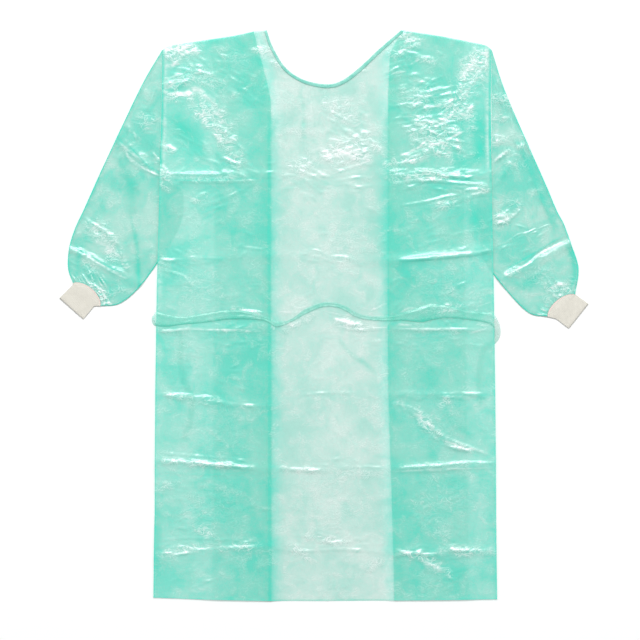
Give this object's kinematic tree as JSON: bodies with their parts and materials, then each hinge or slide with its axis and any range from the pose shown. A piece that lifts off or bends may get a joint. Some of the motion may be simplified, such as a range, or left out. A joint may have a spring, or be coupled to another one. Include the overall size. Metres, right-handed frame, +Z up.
{
  "type": "isolation gown",
  "caption": "Thin film isolation gown laid flat, front up, with knit cuffs, a bound neck scoop and a film belt; the open back panels are folded under the front.",
  "frame": {"origin": "middle of the gown's bounding box, on the surface that it lies on", "axes": "+Y from the hem to the neck, +Z up out of the front, +X towards the sleeve on the viewer's right"},
  "size_m": [1.069, 1.153, 0.0094],
  "materials": {
    "film": "glossy, thin, see-through",
    "knit": "matte rib knit",
    "trim": "glossy film, several layers"
  },
  "bodies": {
    "root": {"front": "film", "back_left": "film", "back_right": "film", "sleeve_left": "film", "sleeve_right": "film", "cuff_left": "knit", "cuff_right": "knit", "neck_binding": "trim", "belt": "trim"}
  },
  "joints": []
}
